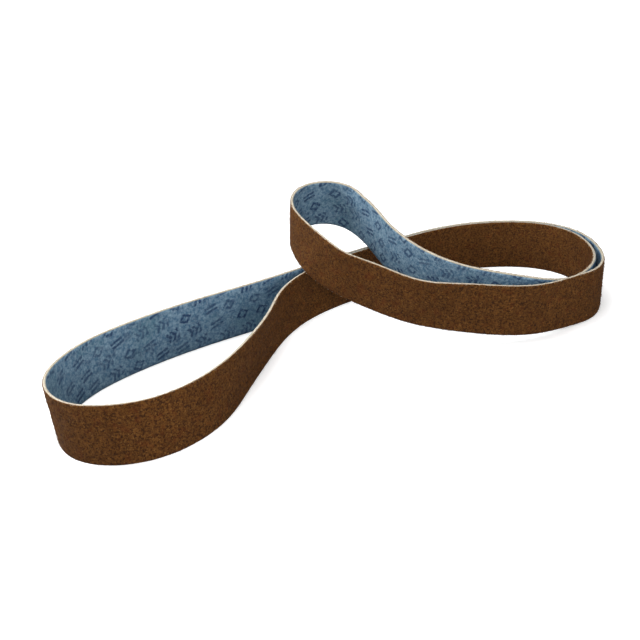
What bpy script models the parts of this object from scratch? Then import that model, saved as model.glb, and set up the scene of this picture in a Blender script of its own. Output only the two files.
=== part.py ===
"""
An endless surface-conditioning belt standing loose on its edge.

It is one strip of abrasive web bonded to a cloth backing, with its ends spliced into a ring. At rest
it makes a long loop on the left, a round loop on the right in which two strands stand side by side,
and a small loop in the middle that rides up on the strands below it. The abrasive faces outwards.
"""
import math

import bmesh
import bpy
import numpy as np

MM = 0.001

# The belt, in metres
BELT_LENGTH = 2.286
BELT_WIDTH = 0.0508
WEB_THICKNESS = 0.0022
BACKING_THICKNESS = 0.0005
LAYER_GAP = 0.0003
# The cloth is a little narrower than the web, whose fibres stand past it at both cut edges
BACKING_INSET = 0.0004

# How it stands
STRAND_GAP = 0.0008
CROSSING_CLEARANCE = 0.0012

# How finely it is faceted
STATION_STEP = 0.008
CELL_COUNT = 2
ROUTE_SAMPLES = 1200
LENGTH_PASSES = 6
SPLICE_REACH = 0.00001

# The belt's tilt is evened out over this length of it, and where it bends less than this, in 1/m, it
# stands upright
TILT_EVENING = 0.025
UPRIGHT_CURVATURE = 1.5

ABRASIVE_BROWN = (0.091, 0.035, 0.011)
BACKING_BLUE = (0.112, 0.194, 0.305)

# The route of the belt's lower edge, seen from above, as the belt is followed once round. Each point is
# x and y in millimetres, the lift as a share of the height that clears a strand below, and the lean
# towards the abrasive side, in degrees, beyond what the bend itself gives.
LEFT_LOOP = (
    (-70, 14, 0, 4),
    (-80, -16, 0, 8),
    (-98, -76, 0, 7),
    (-111, -115, 0, 2),
    (-131, -146, 0, -1),
    (-161, -168, 0, -2),
    (-192, -173, 0, -2),
    (-221, -163, 0, 1),
    (-240, -141, 0, 3),
    (-247, -113, 0, 4),
    (-243, -82, 0, 2),
    (-230, -54, 0, 0),
    (-205, -25, 0, -2),
    (-138, 26, 0, -4),
    (-88, 55, 0, -4),
)
FRONT_RISE = (
    (161, -14, 0.09, 0),
    (95, -15, 0.26, 4),
    (47, -2, 0.42, 0),
    (16, 14, 0.59, 3),
    (-15, 37, 0.78, 2),
    (-39, 65, 1.00, 4),
)
SMALL_LOOP = (
    (-50, 96, 1.15, 1),
    (-52, 121, 1.27, 0),
    (-43, 140, 1.34, 0),
    (-28, 150, 1.35, 0),
    (-10, 153, 1.31, -1),
    (6, 147, 1.22, -2),
    (17, 134, 1.12, -3),
    (25, 120, 1.02, 0),
)
INNER_DESCENT = (
    (41, 86, 0.76, 4),
    (63, 60, 0.55, 2),
    (88, 40, 0.39, -2),
    (117, 22, 0.24, -1),
    (155, 8, 0.10, 0),
)
# The strand that stands inside the other round the right loop: x, y and lean as above, then how far the
# outer strand stands off it beyond the usual gap, in millimetres, and that strand's own lift.
RIGHT_LOOP = (
    (197, 9, 0, 2.8, 0.035),
    (219, 23, 0, 2.2, 0.006),
    (234, 45, 1, 1.6, 0),
    (240, 72, 1.5, 1.2, 0),
    (239, 101, 1.5, 1.2, 0),
    (229, 130, 1, 0.8, 0),
    (208, 153, 0, 0.2, 0),
    (174, 167, 0, 0, 0),
    (129, 168, 0, 0, 0),
    (88, 155, 0, 0, 0),
    (55, 137, 0, 0, 0),
    (18, 115, 0, 0, 0),
    (-15, 92, 0, 2, 0),
)
# The inner strand alone, from where the two part to the left loop
LEFT_RETURN = (
    (-40, 68, 0, 0),
    (-58, 41, 0, 1),
)


def belt_thickness():
    return WEB_THICKNESS + LAYER_GAP + BACKING_THICKNESS


def carry_height():
    """How high a strand's lower edge lies where it crosses over another strand."""
    return BELT_WIDTH + CROSSING_CLEARANCE


def placed(rows, scale):
    """Rows of a stretch as x, y, lift in metres and lean in radians."""
    plan = MM * scale
    return [(x * plan, y * plan, lift * carry_height(), math.radians(lean)) for x, y, lift, lean in rows]


def outward(before, here, after):
    """The unit normal, seen from above, on the right of the way from before to after."""
    first = np.subtract(here, before)
    second = np.subtract(after, here)
    along = first / (first @ first) + second / (second @ second)
    along /= np.linalg.norm(along)
    return np.array([along[1], -along[0]])


def strand_outside(inner):
    """The outer strand's points, the other way round, each a pitch and its opening off the inner one."""
    pitch = belt_thickness() + STRAND_GAP
    rows = []
    for i in range(1, len(inner) - 1):
        here = np.array(inner[i][:2])
        normal = outward(inner[i - 1][:2], here, inner[i + 1][:2])
        _, _, _, opening, lift = RIGHT_LOOP[i - 1]
        x, y = here + normal * (pitch + opening * MM)
        rows.append((x, y, lift * carry_height(), 0.0))
    return rows[::-1]


def route_points(scale):
    inner = placed([(x, y, 0, lean) for x, y, lean, _, _ in RIGHT_LOOP], scale)
    descent = placed(INNER_DESCENT, scale)
    back_to_left = placed(LEFT_RETURN, scale)
    outer = strand_outside([descent[-1], *inner, back_to_left[0]])
    rows = placed(LEFT_LOOP, scale) + outer + placed(FRONT_RISE, scale) + placed(SMALL_LOOP, scale)
    return np.array(rows + descent + inner + back_to_left)


def closed_spline(points, samples):
    """Samples of the smooth closed curve through the points, evenly spaced along it, and its length."""
    count = len(points)
    ahead = np.roll(points, -1, axis=0)
    step = np.linalg.norm(ahead[:, :3] - points[:, :3], axis=1)
    slope = (ahead - points) / step[:, None]
    system = np.zeros((count, count))
    for i in range(count):
        system[i, i - 1] += step[i - 1]
        system[i, i] += 2 * (step[i - 1] + step[i])
        system[i, (i + 1) % count] += step[i]
    bend = np.linalg.solve(system, 6 * (slope - np.roll(slope, 1, axis=0)))
    next_bend = np.roll(bend, -1, axis=0)
    knots = np.concatenate([[0.0], np.cumsum(step)])

    def at(where):
        i = np.clip(np.searchsorted(knots, where, side="right") - 1, 0, count - 1)
        back, rest = (where - knots[i])[:, None], (knots[i + 1] - where)[:, None]
        h = step[i][:, None]
        cubic = (bend[i] * rest**3 + next_bend[i] * back**3) / (6 * h)
        cubic += (points[i] / h - bend[i] * h / 6) * rest
        return cubic + (ahead[i] / h - next_bend[i] * h / 6) * back

    where = np.linspace(0.0, knots[-1], 4 * samples)
    dense = at(where)
    travelled = np.concatenate([[0.0], np.cumsum(np.linalg.norm(np.diff(dense[:, :3], axis=0), axis=1))])
    even = np.arange(samples) * travelled[-1] / samples
    return at(np.interp(even, travelled, where)), travelled[-1]


def unit(vectors):
    return vectors / np.linalg.norm(vectors, axis=1)[:, None]


def evened(values, spacing, reach):
    """The values of a closed run, averaged along it with a bell curve."""
    places = np.arange(len(values))
    away = np.minimum(places, len(values) - places) * spacing
    bell = np.exp(-0.5 * (away / reach) ** 2)
    bell /= bell.sum()
    spread = np.fft.fft(values, axis=0) * np.fft.fft(bell)[:, None]
    return np.real(np.fft.ifft(spread, axis=0))


def belt_route():
    """Even frames along the belt: lower edge, direction across the width, and abrasive-side normal."""
    scale = 1.0
    for _ in range(LENGTH_PASSES):
        route, length = closed_spline(route_points(scale), ROUTE_SAMPLES)
        scale *= BELT_LENGTH / length
    spacing = length / ROUTE_SAMPLES
    edge, lean = route[:, :3].copy(), route[:, 3]
    edge[:, 2] = np.maximum(edge[:, 2], 0.0)
    along = unit(np.roll(edge, -1, axis=0) - np.roll(edge, 1, axis=0))
    # A strip doesn't bend edgewise, so its width stands square to the bend, and upright on a straight.
    bend = (np.roll(along, -1, axis=0) - np.roll(along, 1, axis=0)) / (2 * spacing)
    across = np.cross(along, bend)
    across *= np.where(across[:, 2:] < 0, -1.0, 1.0)
    upright = unit(np.array([0.0, 0.0, 1.0]) - along[:, 2:] * along)
    across = evened(across + UPRIGHT_CURVATURE * upright, spacing, TILT_EVENING)
    across = unit(across - (across * along).sum(axis=1)[:, None] * along)
    normal = np.cross(across, along)
    turn, keep = np.sin(lean)[:, None], np.cos(lean)[:, None]
    across, normal = keep * across + turn * normal, keep * normal - turn * across
    # A leaning strand stands on its lower corner.
    edge[:, 2] += 0.5 * belt_thickness() * np.abs(normal[:, 2])
    return edge, across, normal


def flat_strip(name, stations):
    """The strip as it is cut, one unit long and one wide, with a station at each cross row of its grid."""
    bpy.ops.mesh.primitive_grid_add(
        x_subdivisions=stations, y_subdivisions=CELL_COUNT, size=1.0
    )
    strip = bpy.context.object
    strip.name = name
    strip.data.name = name
    return strip


def bend_round(strip, frames, distance, inset, flipped):
    """Lays the flat strip along the route, a distance to the abrasive side, and splices its ends."""
    edge, across, normal = frames
    samples = len(edge)
    shape = bmesh.new()
    shape.from_mesh(strip.data)
    for vertex in shape.verts:
        travelled = (vertex.co.x + 0.5) * samples
        before = int(travelled)
        share = travelled - before
        i, j = before % samples, (before + 1) % samples
        foot = (1 - share) * edge[i] + share * edge[j]
        up = (1 - share) * across[i] + share * across[j]
        out = (1 - share) * normal[i] + share * normal[j]
        height = inset + (BELT_WIDTH - 2 * inset) * (vertex.co.y + 0.5)
        vertex.co = foot + up * height + out * distance
    bmesh.ops.remove_doubles(shape, verts=shape.verts, dist=SPLICE_REACH)
    if flipped:
        bmesh.ops.reverse_faces(shape, faces=shape.faces)
    shape.to_mesh(strip.data)
    shape.free()


def thicken(strip, thickness):
    shell = strip.modifiers.new("thickness", "SOLIDIFY")
    shell.thickness = thickness
    shell.offset = -1.0


def material(name, colour, roughness):
    made = bpy.data.materials.new(name)
    made.use_nodes = True
    shader = made.node_tree.nodes["Principled BSDF"]
    shader.inputs["Base Color"].default_value = (*colour, 1.0)
    shader.inputs["Roughness"].default_value = roughness
    shader.inputs["Metallic"].default_value = 0.0
    made.diffuse_color = (*colour, 1.0)
    return made


def abrasive_web(frames, stations):
    strip = flat_strip("abrasive_web", stations)
    bend_round(strip, frames, 0.5 * belt_thickness(), 0.0, flipped=True)
    thicken(strip, WEB_THICKNESS)
    strip.data.materials.append(material("abrasive_web", ABRASIVE_BROWN, 0.95))
    return strip


def cloth_backing(frames, stations):
    strip = flat_strip("cloth_backing", stations)
    bend_round(strip, frames, -0.5 * belt_thickness(), BACKING_INSET, flipped=False)
    thicken(strip, BACKING_THICKNESS)
    strip.data.materials.append(material("cloth_backing", BACKING_BLUE, 0.8))
    return strip


def rest_on_origin(parts):
    """Moves the parts so that their footprint's middle and lowest point are at the origin."""
    bpy.context.view_layer.update()
    graph = bpy.context.evaluated_depsgraph_get()
    corners = []
    for part in parts:
        corners.extend(tuple(corner) for corner in part.evaluated_get(graph).bound_box)
    low, high = np.min(corners, axis=0), np.max(corners, axis=0)
    middle = 0.5 * (low + high)
    for part in parts:
        for vertex in part.data.vertices:
            vertex.co.x -= middle[0]
            vertex.co.y -= middle[1]
            vertex.co.z -= low[2]


def main():
    for item in list(bpy.data.objects):
        bpy.data.objects.remove(item, do_unlink=True)
    frames = belt_route()
    stations = round(BELT_LENGTH / STATION_STEP)
    parts = [abrasive_web(frames, stations), cloth_backing(frames, stations)]
    rest_on_origin(parts)
    belt = bpy.data.collections.new("sanding_belt")
    bpy.context.scene.collection.children.link(belt)
    for part in parts:
        for holder in list(part.users_collection):
            holder.objects.unlink(part)
        belt.objects.link(part)
        part.data.shade_smooth()


main()
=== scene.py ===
"""A sanding belt standing on its edge: brown abrasive web outside, printed blue cloth inside."""

import math

import bmesh
import bpy
import numpy as np
from mathutils import Matrix, Vector


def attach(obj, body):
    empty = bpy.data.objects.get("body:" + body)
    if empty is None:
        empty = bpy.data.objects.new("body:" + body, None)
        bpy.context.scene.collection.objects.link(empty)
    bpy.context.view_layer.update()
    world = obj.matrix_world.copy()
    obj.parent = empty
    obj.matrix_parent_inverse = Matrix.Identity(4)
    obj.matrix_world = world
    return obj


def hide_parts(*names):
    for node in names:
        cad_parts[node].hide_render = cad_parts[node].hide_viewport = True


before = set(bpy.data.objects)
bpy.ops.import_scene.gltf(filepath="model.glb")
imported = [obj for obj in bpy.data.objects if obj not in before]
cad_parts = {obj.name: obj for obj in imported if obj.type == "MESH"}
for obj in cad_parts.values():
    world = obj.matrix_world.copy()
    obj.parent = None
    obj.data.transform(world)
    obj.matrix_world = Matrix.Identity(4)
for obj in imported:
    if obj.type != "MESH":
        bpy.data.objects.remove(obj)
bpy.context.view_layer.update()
scene = bpy.context.scene
MM = 0.001


# Abrasive web
# A non-woven mat of nylon fibres with brown abrasive bound all through it, cut to a strip and joined into
# a ring. Its cut edges are raw: cream next to the cloth, brown from the abrasive at the outer side. It is
# bonded to the cloth, and both follow one folded run, which is read here from the CAD strips.

belt_width, belt_length = 50.8 * MM, 2286 * MM
floor_gap = 0.02 * MM
face_slot, edge_slot, hidden_slot = range(3)


def walked(edges):
    """The closed rings of vertices that the edges make, each in order."""
    left = dict.fromkeys(edges)
    rings = []
    while left:
        edge = next(iter(left))
        first, here = edge.verts
        ring = [first]
        while here is not first:
            del left[edge]
            ring.append(here)
            edge = next(other for other in here.link_edges if other in left)
            here = edge.other_vert(here)
        del left[edge]
        rings.append(ring)
    return rings


def nearest_linked(vert, wanted):
    """The closest vertex of a set that one edge joins to this one."""
    found = [edge.other_vert(vert) for edge in vert.link_edges]
    found = [other for other in found if other in wanted]
    return min(found, key=lambda other: (other.co - vert.co).length, default=None)


def face_lines(node, neighbour):
    """The top and bottom lines of the strip's face that looks away from the neighbour strip, station by
    station from its leftmost point, in the direction that keeps that face on the right hand."""
    merge_distance, corner_angle, widest = 1e-6, 1.0, 1.002
    strip = bmesh.new()
    strip.from_mesh(node.data)
    bmesh.ops.remove_doubles(strip, verts=strip.verts, dist=merge_distance)
    rings = walked([edge for edge in strip.edges if edge.calc_face_angle(0) > corner_angle])
    near = np.array([vert.co for vert in neighbour.data.vertices])

    def away(ring):
        """How far the ring lies from the neighbour, from every eighth of its vertices."""
        return np.mean([np.linalg.norm(near - np.array(vert.co), axis=1).min() for vert in ring[::8]])

    def height(ring):
        return np.mean([vert.co.z for vert in ring])

    rings.sort(key=away)
    inner_top = max(rings[:2], key=height)
    bottom, top = sorted(rings[2:], key=height)
    corners = {vert for ring in rings for vert in ring}
    middles = set(strip.verts) - corners
    rows = []
    for vert in top:
        # A row of the strip has a vertex in the middle of its face, or one edge right across it.
        starts = [vert, nearest_linked(vert, middles)]
        feet = [nearest_linked(start, set(bottom)) for start in starts if start]
        feet = [foot for foot in feet if foot]
        below = min(feet, key=lambda foot: (foot.co - vert.co).length, default=None)
        inside = nearest_linked(vert, set(inner_top))
        if below and inside:
            rows.append((vert.co, below.co, vert.co - inside.co))
    # A row that is wider than the rest would run aslant, so it is left out.
    widths = np.array([(row[0] - row[1]).length for row in rows])
    rows = [row for row, width in zip(rows, widths) if width < np.median(widths) * widest]
    lines = np.array([[list(vector) for vector in row] for row in rows])
    strip.free()
    leftmost = lines[:, 0, 0].argmin()
    lines = np.roll(lines, -leftmost, axis=0)
    forward = lines[1, 0] - lines[-1, 0]
    upward = lines[0, 0] - lines[0, 1]
    if np.dot(np.cross(forward, upward), lines[0, 2]) < 0:
        lines = np.roll(lines[::-1], 1, axis=0)
    return lines[:, 0], lines[:, 1]


def closed_spline(points, ends, steps):
    """A smooth closed curve through the points at their distances, read off at the steps."""
    count = len(points)
    gaps = np.diff(np.append(ends, 1.0))
    before = np.roll(gaps, 1)
    rises = (np.roll(points, -1, axis=0) - points) / gaps[:, None]
    matrix = np.zeros((count, count))
    index = np.arange(count)
    matrix[index, index] = 2 * (before + gaps)
    matrix[index, (index + 1) % count] = gaps
    matrix[index, index - 1] = before
    bends = np.linalg.solve(matrix, 6 * (rises - np.roll(rises, 1, axis=0)))
    where = np.searchsorted(ends, steps, side="right") - 1
    after = (where + 1) % count
    span = gaps[where][:, None]
    done = (steps - ends[where])[:, None]
    togo = span - done
    return (
        (bends[where] * togo**3 + bends[after] * done**3) / (6 * span)
        + (points[where] / span - bends[where] * span / 6) * togo
        + (points[after] / span - bends[after] * span / 6) * done
    )


def unit(vectors):
    return vectors / np.linalg.norm(vectors, axis=-1, keepdims=True)


class Run:
    """A strip's face at even stations: its two lines, and the directions up, forward and out of it."""

    def __init__(self, lines, stations):
        top, bottom = lines
        middle = (top + bottom) / 2
        steps = np.linalg.norm(np.roll(middle, -1, axis=0) - middle, axis=1)
        self.length = steps.sum()
        ends = np.append(0, np.cumsum(steps)[:-1]) / self.length
        even = np.arange(stations) / stations
        self.top = closed_spline(top, ends, even)
        self.bottom = closed_spline(bottom, ends, even)
        self.up = unit(self.top - self.bottom)
        middle = (self.top + self.bottom) / 2
        self.forward = unit(np.roll(middle, -1, axis=0) - np.roll(middle, 1, axis=0))
        self.out = unit(np.cross(self.forward, self.up))
        self.width = np.linalg.norm(self.top - self.bottom, axis=1).mean()


def face_rings(run, rows, wear):
    """The section points across a strip's face, with its two corners worn back, and their spans."""
    shares = np.linspace(0, 1, rows + 1)
    rings, spans = [], []
    for row, share in enumerate(shares):
        worn = wear if row in (0, rows) else 0.0
        rings.append(run.bottom + (run.top - run.bottom) * share - run.out * worn)
        if row < rows:
            spans.append((share * run.width, shares[row + 1] * run.width, face_slot))
    return rings, spans


def strip_mesh(name, rings, spans, run, materials):
    """One closed strip from rings of section points, each ring the same point of the section all along
    the belt. A span gives where its map starts and ends across the belt, and its material's number."""
    stations = len(rings[0])
    verts = np.concatenate(rings)
    count = len(rings)
    mesh = bpy.data.meshes.new(name)
    here = np.arange(stations)
    after = (here + 1) % stations
    quads = []
    for row in range(count):
        following = (row + 1) % count
        quads.append(np.stack([row * stations + here, row * stations + after,
                               following * stations + after, following * stations + here], axis=1))
    quads = np.concatenate(quads)
    mesh.from_pydata(verts, [], quads.tolist())
    marks = mesh.uv_layers.new(name="strip")
    along = here * run.length / stations
    ahead = (here + 1) * run.length / stations
    places = []
    for low, high, _ in spans:
        square = np.stack([np.stack([along, np.full(stations, low)], axis=1),
                           np.stack([ahead, np.full(stations, low)], axis=1),
                           np.stack([ahead, np.full(stations, high)], axis=1),
                           np.stack([along, np.full(stations, high)], axis=1)], axis=1)
        places.append(square)
    marks.data.foreach_set("uv", np.concatenate(places).astype(np.float32).ravel())
    for material in materials:
        mesh.materials.append(material)
    slots = np.repeat([slot for _, _, slot in spans], stations).astype(np.int32)
    mesh.polygons.foreach_set("material_index", slots)
    mesh.polygons.foreach_set("use_smooth", np.ones(len(quads), bool))
    mesh.update()
    return mesh


web_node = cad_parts["abrasive_web"]
cloth_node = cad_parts["cloth_backing"]
web_stations = 1760
web_run = Run(face_lines(web_node, cloth_node), web_stations)


def put(tree, socket, value):
    """Links a socket to another one, or sets its constant."""
    if isinstance(value, bpy.types.NodeSocket):
        tree.links.new(value, socket)
    else:
        socket.default_value = value


def calc(tree, operation, first, second=None, third=None):
    made = tree.nodes.new("ShaderNodeMath")
    made.operation = operation
    for socket, value in zip(made.inputs, (first, second, third)):
        if value is not None:
            put(tree, socket, value)
    return made.outputs[0]


def vector_calc(tree, operation, first, second):
    """One step of reckoning with two vectors, or a vector scaled by a number."""
    made = tree.nodes.new("ShaderNodeVectorMath")
    made.operation = operation
    put(tree, made.inputs[0], first)
    put(tree, made.inputs["Scale" if operation == "SCALE" else 1], second)
    return made.outputs[0]


def parted(tree, vector):
    """The three numbers of a vector."""
    made = tree.nodes.new("ShaderNodeSeparateXYZ")
    put(tree, made.inputs[0], vector)
    return made.outputs


def joined(tree, x, y, z):
    made = tree.nodes.new("ShaderNodeCombineXYZ")
    for socket, value in zip(made.inputs, (x, y, z)):
        put(tree, socket, value)
    return made.outputs[0]


def cloudy(tree, vector, scale, detail=2.0, roughness=0.5, distortion=0.0, output="Fac"):
    """Noise with a number of lumps to each metre."""
    made = tree.nodes.new("ShaderNodeTexNoise")
    made.normalize = True
    for name, value in (("Vector", vector), ("Scale", scale), ("Detail", detail),
                        ("Roughness", roughness), ("Distortion", distortion)):
        put(tree, made.inputs[name], value)
    return made.outputs[output]


def mesh_tree(name, sizes, finish=False):
    """A Geometry Nodes tree that takes and gives a mesh, with named sizes and, if wanted, a finish."""
    tree = bpy.data.node_groups.new(name, "GeometryNodeTree")
    tree.interface.new_socket("Geometry", in_out="INPUT", socket_type="NodeSocketGeometry")
    for size in sizes:
        tree.interface.new_socket(size, in_out="INPUT", socket_type="NodeSocketFloat")
    if finish:
        tree.interface.new_socket("Finish", in_out="INPUT", socket_type="NodeSocketMaterial")
    tree.interface.new_socket("Geometry", in_out="OUTPUT", socket_type="NodeSocketGeometry")
    inner = tree.nodes.new("NodeGroupInput")
    outer = tree.nodes.new("NodeGroupOutput")
    return tree, inner.outputs, outer.inputs["Geometry"]


def kept_off_floor(tree, geometry, offset):
    """The geometry moved by an offset, and then lifted where it would pass through the floor."""
    shifted = tree.nodes.new("GeometryNodeSetPosition")
    put(tree, shifted.inputs["Geometry"], geometry)
    put(tree, shifted.inputs["Offset"], offset)
    place = tree.nodes.new("GeometryNodeInputPosition").outputs[0]
    x, y, z = parted(tree, place)
    lifted = tree.nodes.new("GeometryNodeSetPosition")
    put(tree, lifted.inputs["Geometry"], shifted.outputs[0])
    put(tree, lifted.inputs["Position"], joined(tree, x, y, calc(tree, "MAXIMUM", z, floor_gap)))
    return lifted.outputs[0]


def shaped(name, start, tree, sizes):
    """A plain mesh object: the start mesh as the tree makes it over with these sizes."""
    rough = bpy.data.objects.new(name + "_start", start)
    scene.collection.objects.link(rough)
    modifier = rough.modifiers.new("shape", "NODES")
    modifier.node_group = tree
    for item in tree.interface.items_tree:
        if item.in_out == "INPUT" and item.name in sizes:
            modifier[item.identifier] = sizes[item.name]
    settled = rough.evaluated_get(bpy.context.evaluated_depsgraph_get())
    mesh = bpy.data.meshes.new_from_object(settled)
    mesh.name = name
    bpy.data.objects.remove(rough)
    made = bpy.data.objects.new(name, mesh)
    scene.collection.objects.link(made)
    return made


felted, given, result = mesh_tree("felted", ("Coarse relief", "Coarse lump", "Fine relief", "Fine lump"))
place = felted.nodes.new("GeometryNodeInputPosition").outputs[0]
outward = felted.nodes.new("GeometryNodeInputNormal").outputs[0]
relief = 0.0
for height, lump in (("Coarse relief", "Coarse lump"), ("Fine relief", "Fine lump")):
    clouds = cloudy(felted, place, calc(felted, "DIVIDE", 1.0, given[lump]), 1.0)
    clouds = calc(felted, "MULTIPLY", calc(felted, "SUBTRACT", clouds, 0.5), given[height])
    relief = calc(felted, "ADD", relief, clouds)
moved = vector_calc(felted, "SCALE", outward, relief)
put(felted, result, kept_off_floor(felted, given["Geometry"], moved))


def linear(red, green, blue):
    """A colour read off a screen, 0 to 255, as the linear colour that shaders take."""
    def channel(value):
        value = value / 255
        return value / 12.92 if value <= 0.04045 else ((value + 0.055) / 1.055) ** 2.4
    return (channel(red), channel(green), channel(blue), 1.0)


def between(tree, value, low, high, start=0.0, end=1.0):
    """The value eased from start to end as it goes from low to high."""
    made = tree.nodes.new("ShaderNodeMapRange")
    made.interpolation_type = "SMOOTHSTEP"
    for name, number in (("Value", value), ("From Min", low), ("From Max", high),
                         ("To Min", start), ("To Max", end)):
        put(tree, made.inputs[name], number)
    return made.outputs["Result"]


def blend(tree, share, first, second):
    made = tree.nodes.new("ShaderNodeMix")
    made.data_type = "RGBA"
    put(tree, made.inputs[0], share)
    put(tree, made.inputs[6], first)
    put(tree, made.inputs[7], second)
    return made.outputs[2]


def new_material(name, roughness, gloss):
    made = bpy.data.materials.new(name)
    made.use_nodes = True
    shader = made.node_tree.nodes["Principled BSDF"]
    shader.inputs["Roughness"].default_value = roughness
    shader.inputs["Specular IOR Level"].default_value = gloss
    return made, made.node_tree, shader


def raised(tree, shader, height, distance):
    made = tree.nodes.new("ShaderNodeBump")
    made.inputs["Distance"].default_value = distance
    put(tree, made.inputs["Height"], height)
    put(tree, shader.inputs["Normal"], made.outputs[0])


def strip_coordinates(tree):
    """Metres along the belt and across it, from the strip's own map."""
    made = tree.nodes.new("ShaderNodeUVMap")
    made.uv_map = "strip"
    return made.outputs[0]


def object_coordinates(tree):
    return tree.nodes.new("ShaderNodeTexCoord").outputs["Object"]


def effect_group(name, outputs):
    """A node group that takes a vector and gives the named floats."""
    tree = bpy.data.node_groups.new(name, "ShaderNodeTree")
    tree.interface.new_socket("Vector", in_out="INPUT", socket_type="NodeSocketVector")
    for output in outputs:
        tree.interface.new_socket(output, in_out="OUTPUT", socket_type="NodeSocketFloat")
    inner = tree.nodes.new("NodeGroupInput")
    outer = tree.nodes.new("NodeGroupOutput")
    return tree, inner.outputs["Vector"], outer.inputs


def use_group(tree, group, vector):
    made = tree.nodes.new("ShaderNodeGroup")
    made.node_tree = group
    put(tree, made.inputs["Vector"], vector)
    return made.outputs


# Layers of fibres: the direction of each in degrees, and its noise's lumps to a metre along and across it
fibre_mat, here, ends = effect_group("fibre_mat", ("Strand", "Tangle"))
layers = []
for angle, along, across in ((14, 130, 1150), (71, 110, 900), (128, 140, 1250), (163, 90, 800)):
    turned = fibre_mat.nodes.new("ShaderNodeVectorRotate")
    turned.rotation_type = "Z_AXIS"
    put(fibre_mat, turned.inputs["Vector"], here)
    turned.inputs["Angle"].default_value = math.radians(angle)
    drawn = vector_calc(fibre_mat, "MULTIPLY", turned.outputs[0], (along, across, 1.0))
    wave = cloudy(fibre_mat, drawn, 1.0, 1.0, 0.4, 0.5)
    ridge = calc(fibre_mat, "ABSOLUTE", calc(fibre_mat, "SUBTRACT", wave, 0.5))
    layers.append(between(fibre_mat, ridge, 0.0, 0.07, 1.0, 0.0))
strands = total = layers[0]
for layer in layers[1:]:
    strands = calc(fibre_mat, "MAXIMUM", strands, layer)
    total = calc(fibre_mat, "ADD", total, layer)
put(fibre_mat, ends["Strand"], strands)
put(fibre_mat, ends["Tangle"], calc(fibre_mat, "MULTIPLY", total, 1 / len(layers)))

web_face, tree, shader = new_material("web_face", 0.82, 0.16)
solid = object_coordinates(tree)
strand, tangle = use_group(tree, fibre_mat, strip_coordinates(tree))
grain = cloudy(tree, solid, 540, 3.0, 0.72)
patch = cloudy(tree, solid, 34, 3.0, 0.6)
tint = cloudy(tree, solid, 130, 2.0, 0.5)
glint_and_speck = cloudy(tree, solid, 760, 1.0, 0.5)
colour = blend(tree, between(tree, grain, 0.38, 0.62), linear(44, 18, 2), linear(98, 60, 20))
lit_strand = calc(tree, "MULTIPLY", strand, between(tree, grain, 0.40, 0.60, 0.15, 0.75))
colour = blend(tree, lit_strand, colour, linear(130, 85, 40))
colour = blend(tree, between(tree, tint, 0.52, 0.72, 0.0, 0.38), colour, linear(98, 44, 12))
colour = blend(tree, between(tree, patch, 0.35, 0.65, 0.22, 0.0), colour, linear(52, 28, 10))
# Painted glints: small light specks that stand in for highlights on the abrasive grains. The small dark
# specks on the next line are the grit's own colour.
colour = blend(tree, between(tree, glint_and_speck, 0.62, 0.70, 0.0, 0.55), colour, linear(150, 107, 56))
colour = blend(tree, between(tree, glint_and_speck, 0.30, 0.38, 0.55, 0.0), colour, linear(30, 14, 4))
put(tree, shader.inputs["Base Color"], colour)
height = calc(tree, "ADD", calc(tree, "MULTIPLY", tangle, 1.1), calc(tree, "MULTIPLY", grain, 0.6))
raised(tree, shader, height, 0.45 * MM)

cut_edge, tree, shader = new_material("cut_edge", 0.9, 0.08)
solid = object_coordinates(tree)
speck = cloudy(tree, solid, 1500, 2.0, 0.6)
drift = calc(tree, "SUBTRACT", cloudy(tree, solid, 260, 2.0, 0.6), 0.5)
depth_below_face = calc(tree, "MULTIPLY_ADD", drift, 0.9 * MM, parted(tree, strip_coordinates(tree))[1])
cream = blend(tree, between(tree, speck, 0.35, 0.65), linear(164, 154, 134), linear(218, 210, 192))
edge_brown = blend(tree, speck, linear(70, 38, 12), linear(124, 80, 38))
brown_to_cream = between(tree, depth_below_face, 0.50 * MM, 0.95 * MM)
put(tree, shader.inputs["Base Color"], blend(tree, brown_to_cream, edge_brown, cream))
raised(tree, shader, speck, 0.25 * MM)

bonded_side, tree, shader = new_material("bonded_side", 0.9, 0.08)
glue = cloudy(tree, object_coordinates(tree), 700, 2.0, 0.6)
put(tree, shader.inputs["Base Color"], blend(tree, glue, linear(96, 84, 64), linear(160, 148, 124)))
raised(tree, shader, glue, 0.2 * MM)

web_depth = 2.45 * MM
web_corner_wear = 0.22 * MM
rim_depths = (0.75 * MM, 1.4 * MM, 2.0 * MM, web_depth)
rim_swell, rim_pinch = 0.10 * MM, 0.05 * MM
rings, spans = face_rings(web_run, 38, web_corner_wear)
for side in (1, -1):
    corner = web_run.top if side > 0 else web_run.bottom
    for depth in rim_depths[::side]:
        swell = -rim_pinch if depth == web_depth else rim_swell
        rings.append(corner - web_run.out * depth + web_run.up * (side * swell))
    depths = ((web_corner_wear,) + rim_depths)[::side]
    spans.extend((low, high, edge_slot) for low, high in zip(depths, depths[1:]))
    if side > 0:
        spans.append((0, web_run.width, hidden_slot))
web_start = strip_mesh("web_start", rings, spans, web_run, (web_face, cut_edge, bonded_side))
web = shaped("web", web_start, felted, {
    "Coarse relief": 0.42 * MM, "Coarse lump": 5.0 * MM, "Fine relief": 0.40 * MM, "Fine lump": 2.1 * MM})
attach(web, "root")
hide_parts("abrasive_web")


# Loose fibres of the web
# Ends of the nylon fibres that stand out of the mat, all over its face and along its raw cut edges.
# They are the mat's own fibres, held by its resin, so they lie nearly flat and only their ends lift.

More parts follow.
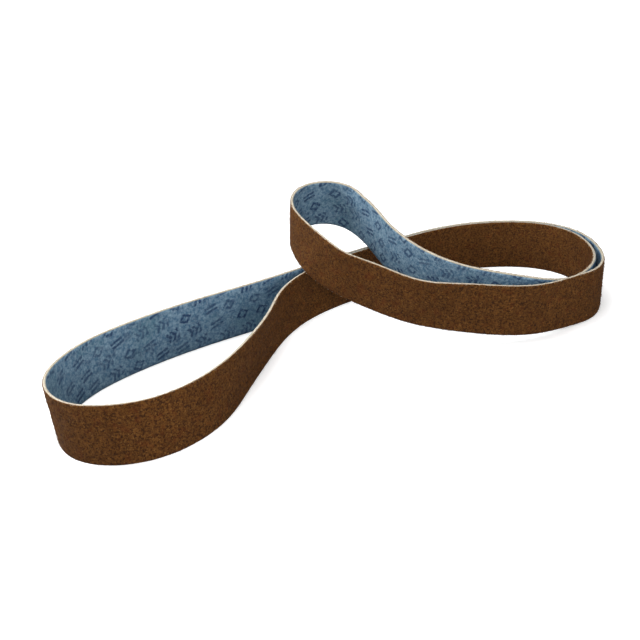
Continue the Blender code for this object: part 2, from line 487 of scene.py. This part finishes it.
grow, given, result = mesh_tree(
    "loose_fibres", ("Per square metre", "Length", "Thickness", "Lift", "Side", "Seed"), finish=True)
place = grow.nodes.new("GeometryNodeInputPosition").outputs[0]
side_here = grow.nodes.new("GeometryNodeInputMaterialIndex").outputs[0]
floor_margin, root_depth, curl_reach, most_lean = 1.2 * MM, 0.15 * MM, 2.4 * MM, 0.12
clear_of_floor = calc(grow, "GREATER_THAN", parted(grow, place)[2], floor_margin)
on_side = calc(grow, "COMPARE", side_here, given["Side"], 0.4)
wanted = calc(grow, "MULTIPLY", clear_of_floor, on_side)
roots = grow.nodes.new("GeometryNodeDistributePointsOnFaces")
for name, value in (("Mesh", given["Geometry"]), ("Selection", wanted),
                    ("Density", given["Per square metre"]), ("Seed", given["Seed"])):
    put(grow, roots.inputs[name], value)
bow = grow.nodes.new("GeometryNodeCurveQuadraticBezier")
half_length = calc(grow, "MULTIPLY", given["Length"], 0.5)
buried = calc(grow, "MULTIPLY", given["Length"], -0.5)
aside = calc(grow, "MULTIPLY", given["Length"], 0.3)
end_lift = calc(grow, "MULTIPLY", given["Lift"], 0.8)
bow.inputs["Resolution"].default_value = 3
put(grow, bow.inputs["Start"], joined(grow, buried, 0.0, -root_depth))
put(grow, bow.inputs["Middle"], joined(grow, 0.0, aside, given["Lift"]))
put(grow, bow.inputs["End"], joined(grow, half_length, 0.0, end_lift))
section = grow.nodes.new("GeometryNodeCurvePrimitiveCircle")
section.inputs["Resolution"].default_value = 3
put(grow, section.inputs["Radius"], calc(grow, "MULTIPLY", given["Thickness"], 0.5))
fibre = grow.nodes.new("GeometryNodeCurveToMesh")
put(grow, fibre.inputs["Curve"], bow.outputs[0])
put(grow, fibre.inputs["Profile Curve"], section.outputs[0])
fibre.inputs["Fill Caps"].default_value = True
lean = grow.nodes.new("FunctionNodeRandomValue")
lean.data_type = "FLOAT_VECTOR"
lean.inputs[0].default_value = (-most_lean, -most_lean, 0.0)
lean.inputs[1].default_value = (most_lean, most_lean, math.tau)
put(grow, lean.inputs["Seed"], 5)
spin = grow.nodes.new("FunctionNodeEulerToRotation")
put(grow, spin.inputs[0], lean.outputs[0])
aim = grow.nodes.new("FunctionNodeRotateRotation")
aim.rotation_space = "LOCAL"
put(grow, aim.inputs["Rotation"], roots.outputs["Rotation"])
put(grow, aim.inputs["Rotate By"], spin.outputs[0])
grown = grow.nodes.new("GeometryNodeInstanceOnPoints")
for name, value in (("Points", roots.outputs["Points"]), ("Instance", fibre.outputs[0]),
                    ("Rotation", aim.outputs[0])):
    put(grow, grown.inputs[name], value)
real = grow.nodes.new("GeometryNodeRealizeInstances")
put(grow, real.inputs[0], grown.outputs[0])
curl = cloudy(grow, place, 330, 1.0, output="Color")
curl = vector_calc(grow, "SUBTRACT", curl, (0.5, 0.5, 0.5))
curl = vector_calc(grow, "SCALE", curl, curl_reach)
finished = grow.nodes.new("GeometryNodeSetMaterial")
put(grow, finished.inputs["Geometry"], kept_off_floor(grow, real.outputs[0], curl))
put(grow, finished.inputs["Material"], given["Finish"])
put(grow, result, finished.outputs[0])


def fibre_finish(name, scale, dark, light):
    """A matt fibre that goes from dark to light along its length and from one fibre to the next."""
    made, tree, shader = new_material(name, 0.7, 0.15)
    shade = cloudy(tree, object_coordinates(tree), scale, 2.0, 0.6)
    put(tree, shader.inputs["Base Color"], blend(tree, between(tree, shade, 0.35, 0.65), dark, light))
    return made


web_fibres = shaped("web_fibres", web.data, grow, {
    "Per square metre": 82000.0, "Length": 5.5 * MM, "Thickness": 0.16 * MM, "Lift": 0.45 * MM,
    "Side": float(face_slot), "Seed": 3.0,
    "Finish": fibre_finish("fibre_brown", 420, linear(44, 20, 4), linear(138, 87, 36))})
edge_fibres = shaped("edge_fibres", web.data, grow, {
    "Per square metre": 650000.0, "Length": 2.1 * MM, "Thickness": 0.12 * MM, "Lift": 0.26 * MM,
    "Side": float(edge_slot), "Seed": 4.0,
    "Finish": fibre_finish("fibre_cream", 600, linear(140, 124, 98), linear(220, 212, 194))})
for fibres in (web_fibres, edge_fibres):
    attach(fibres, "root")


# Cloth backing
# A plain-woven polyester-cotton cloth, dyed blue and printed all over in a darker blue, bonded to the web's
# inner side so that the belt doesn't stretch. The print is generic: lozenges, chevrons and bars. It has
# soaked into the threads and is rubbed thin in places.

cloth_stations = 1200
cloth_run = Run(face_lines(cloth_node, web_node), cloth_stations)

woven, here, ends = effect_group("woven", ("Height", "Thread"))
thread_pitch = 0.62 * MM
warp_wave, weft_wave = [calc(woven, "SINE", calc(woven, "MULTIPLY", metres, math.pi / thread_pitch))
                        for metres in parted(woven, here)[:2]]
over = calc(woven, "GREATER_THAN", calc(woven, "MULTIPLY", warp_wave, weft_wave), 0.0)
warp = calc(woven, "ABSOLUTE", warp_wave)
weft = calc(woven, "ABSOLUTE", weft_wave)
difference = calc(woven, "SUBTRACT", warp, weft)
put(woven, ends["Height"], calc(woven, "ADD", weft, calc(woven, "MULTIPLY", difference, over)))
put(woven, ends["Thread"], over)

worn_print, here, ends = effect_group("worn_print", ("Ink",))


def printed(operation, *values):
    return calc(worn_print, operation, *values)


def stroke(value, middle, reach):
    """A line with soft edges, where the value is near the middle."""
    away = printed("ABSOLUTE", printed("SUBTRACT", value, middle))
    return between(worn_print, away, reach * 0.6, reach * 1.3, 1.0, 0.0)


cell_long, cell_wide = belt_length / 96, belt_width / 3.5
row_shift, slant = 0.37, 0.33
ragged = printed("SUBTRACT", cloudy(worn_print, here, 420, 3.0, 0.7), 0.5)
strip_along, strip_across, _ = parted(worn_print, here)
along = printed("DIVIDE", printed("MULTIPLY_ADD", ragged, 5.0 * MM, strip_along), cell_long)
across = printed("DIVIDE", printed("MULTIPLY_ADD", ragged, 4.0 * MM, strip_across), cell_wide)
row = printed("FLOOR", across)
along = printed("MULTIPLY_ADD", row, row_shift, along)
column = printed("FLOOR", along)
chance = worn_print.nodes.new("ShaderNodeTexWhiteNoise")
chance.noise_dimensions = "2D"
put(worn_print, chance.inputs["Vector"], joined(worn_print, column, row, 0.0))
first_chance, second_chance, third_chance = parted(worn_print, chance.outputs["Color"])
stray_x = printed("MULTIPLY_ADD", first_chance, 0.24, 0.38)
stray_y = printed("MULTIPLY_ADD", second_chance, 0.20, 0.40)
flat_x = printed("MULTIPLY", printed("SUBTRACT", printed("FRACT", along), stray_x), cell_long)
flat_y = printed("MULTIPLY", printed("SUBTRACT", printed("FRACT", across), stray_y), cell_wide)
x = printed("MULTIPLY_ADD", flat_y, slant, flat_x)
y = printed("MULTIPLY_ADD", flat_x, -slant, flat_y)
far_x = printed("ABSOLUTE", x)
far_y = printed("ABSOLUTE", y)
lozenge_reach = printed("ADD", printed("DIVIDE", far_x, 7.4 * MM), printed("DIVIDE", far_y, 6.2 * MM))
lozenge = stroke(lozenge_reach, 0.74, 0.26)
inside = printed("MULTIPLY", between(worn_print, far_x, 6.4 * MM, 7.6 * MM, 1.0, 0.0),
                 between(worn_print, far_y, 5.0 * MM, 5.8 * MM, 1.0, 0.0))
chevron_turn = printed("FRACT", printed("DIVIDE", printed("MULTIPLY_ADD", far_y, 0.7, x), 5.6 * MM))
chevron = printed("MULTIPLY", inside, stroke(chevron_turn, 0.5, 0.30))
bar_turn = printed("FRACT", printed("DIVIDE", y, 4.4 * MM))
bars = printed("MULTIPLY", inside, stroke(bar_turn, 0.5, 0.30))
# The third chance, from 0 to just under 3, picks one of the three motifs for each cell.
motif = printed("FLOOR", printed("MULTIPLY", third_chance, 2.999))
ink = 0.0
for number, shape in enumerate((lozenge, chevron, bars)):
    ink = printed("MULTIPLY_ADD", shape, printed("COMPARE", motif, float(number), 0.4), ink)
rubbed = between(worn_print, cloudy(worn_print, here, 300, 3.0, 0.7), 0.34, 0.50, 0.25, 1.0)
pressed = printed("MULTIPLY_ADD", printed("FRACT", printed("MULTIPLY", first_chance, 9.7)), 0.35, 0.65)
stain = between(worn_print, cloudy(worn_print, here, 85, 3.0, 0.7), 0.53, 0.66, 0.0, 0.48)
motifs = printed("MULTIPLY", printed("MULTIPLY", ink, rubbed), pressed)
put(worn_print, ends["Ink"], printed("MAXIMUM", motifs, stain))

cloth_face, tree, shader = new_material("cloth_face", 0.85, 0.12)
flat = strip_coordinates(tree)
solid = object_coordinates(tree)
weave, thread = use_group(tree, woven, flat)
ink = use_group(tree, worn_print, flat)[0]
mottle = cloudy(tree, solid, 330, 3.0, 0.72)
patch = cloudy(tree, solid, 30, 2.0, 0.5)
speck = cloudy(tree, solid, 900, 2.0, 0.6)
colour = blend(tree, between(tree, mottle, 0.36, 0.64), linear(83, 116, 141), linear(142, 170, 187))
colour = blend(tree, between(tree, patch, 0.5, 0.75, 0.0, 0.4), colour, linear(84, 122, 130))
colour = blend(tree, ink, colour, linear(26, 50, 86))
colour = blend(tree, between(tree, speck, 0.36, 0.64, 0.42, 0.0), colour, linear(36, 64, 98))
colour = blend(tree, calc(tree, "MULTIPLY", thread, 0.10), colour, linear(160, 182, 198))
put(tree, shader.inputs["Base Color"], colour)
raised(tree, shader, calc(tree, "MULTIPLY_ADD", weave, 0.6, mottle), 0.16 * MM)

cloth_edge, tree, shader = new_material("cloth_edge", 0.9, 0.1)
speck = cloudy(tree, object_coordinates(tree), 1400, 2.0, 0.6)
put(tree, shader.inputs["Base Color"], blend(tree, speck, linear(120, 132, 136), linear(194, 192, 182)))
raised(tree, shader, speck, 0.2 * MM)

cloth_depth = 0.55 * MM
cloth_corner_wear = 0.08 * MM
rings, spans = face_rings(cloth_run, 20, cloth_corner_wear)
for side in (1, -1):
    corner = cloth_run.top if side > 0 else cloth_run.bottom
    rings.append(corner - cloth_run.out * cloth_depth)
    spans.append((0, cloth_depth, edge_slot))
    if side > 0:
        spans.append((0, cloth_run.width, edge_slot))
cloth_start = strip_mesh("cloth_start", rings, spans, cloth_run, (cloth_face, cloth_edge))
cloth = shaped("cloth", cloth_start, felted, {
    "Coarse relief": 0.26 * MM, "Coarse lump": 9.0 * MM, "Fine relief": 0.16 * MM, "Fine lump": 4.0 * MM})
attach(cloth, "root")
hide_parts("cloth_backing")


# Floor
# Plain white paper. To the camera it glows a little near the belt, where it keeps the belt's shadow, and
# more further off, where the lamps no longer reach.

floor_mesh = bpy.data.meshes.new("floor")
floor_reach, floor_height = 6.0, -0.05 * MM
signs = ((-1, -1), (1, -1), (1, 1), (-1, 1))
corners = [(x * floor_reach, y * floor_reach, floor_height) for x, y in signs]
floor_mesh.from_pydata(corners, [], [(0, 1, 2, 3)])
floor = bpy.data.objects.new("floor", floor_mesh)
scene.collection.objects.link(floor)
paper, tree, shader = new_material("paper", 0.9, 0.2)
seen = tree.nodes.new("ShaderNodeLightPath").outputs["Is Camera Ray"]
grey_to_belt, white_to_camera = (0.36, 0.36, 0.36, 1.0), (0.9, 0.9, 0.9, 1.0)
put(tree, shader.inputs["Base Color"], blend(tree, seen, grey_to_belt, white_to_camera))
away = tree.nodes.new("ShaderNodeVectorMath")
away.operation = "LENGTH"
put(tree, away.inputs[0], object_coordinates(tree))
glow = tree.nodes.new("ShaderNodeEmission")
glow_near, glow_far = 0.42, 1.0
rising = between(tree, away.outputs["Value"], 0.45, 1.3, glow_near, glow_far)
put(tree, glow.inputs["Strength"], calc(tree, "MULTIPLY", seen, rising))
both = tree.nodes.new("ShaderNodeAddShader")
put(tree, both.inputs[0], shader.outputs[0])
put(tree, both.inputs[1], glow.outputs[0])
put(tree, tree.nodes["Material Output"].inputs["Surface"], both.outputs[0])
floor_mesh.materials.append(paper)


# Light
# A white room that lights the belt only weakly, a broad lamp above it, and soft lamps at its left, its
# right and both sides of the front. The ones above and at the left are the strongest.

world = bpy.data.worlds.new("studio")
world.use_nodes = True
scene.world = world
tree = world.node_tree
background = tree.nodes["Background"]
seen = tree.nodes.new("ShaderNodeLightPath").outputs["Is Camera Ray"]
put(tree, background.inputs["Color"], (1.0, 1.0, 1.0, 1.0))
room_light, room_white = 0.22, 1.2
strength = calc(tree, "MULTIPLY_ADD", seen, room_white - room_light, room_light)
put(tree, background.inputs["Strength"], strength)


def area_light(name, place, aim, size, power):
    lamp = bpy.data.lights.new(name, "AREA")
    lamp.shape = "DISK"
    lamp.size = size
    lamp.energy = power
    made = bpy.data.objects.new(name, lamp)
    scene.collection.objects.link(made)
    made.location = place
    made.rotation_mode = "QUATERNION"
    made.rotation_quaternion = (Vector(aim) - Vector(place)).to_track_quat("-Z", "Y")


area_light("left_side", (-0.75, 0.1, 0.55), (-0.05, 0, 0.05), 0.4, 7.0)
area_light("right_side", (0.95, -0.9, 0.28), (-0.05, 0, 0.03), 0.6, 3.6)
area_light("overhead", (-0.05, 0, 1.4), (0, 0, 0.03), 0.8, 12)
area_light("front_left", (-0.5, -0.9, 0.9), (-0.05, 0, 0.03), 0.6, 4.1)
area_light("front_right", (0.25, -1.1, 0.35), (-0.1, 0, 0.03), 0.5, 4.6)


# Camera
# The photograph's own view, worked out from the belt's edges, which keep one distance all round, and
# from the plane that it stands on.

focal_pixels, frame_pixels = 942.7, 640
sensor_width = 36.0
pitch_down, roll = 24.18, -4.53
camera_place = (-0.0275, -0.7869, 0.382)
lens = bpy.data.cameras.new("camera")
lens.sensor_width = sensor_width
lens.lens = focal_pixels / frame_pixels * sensor_width
lens.clip_start = 0.01
camera = bpy.data.objects.new("camera", lens)
scene.collection.objects.link(camera)
camera.rotation_mode = "QUATERNION"
turn = Matrix.Rotation(math.radians(90 - pitch_down), 4, "X") @ Matrix.Rotation(math.radians(roll), 4, "Z")
camera.rotation_quaternion = turn.to_quaternion()
camera.location = camera_place
scene.camera = camera
scene.view_settings.view_transform = "Standard"
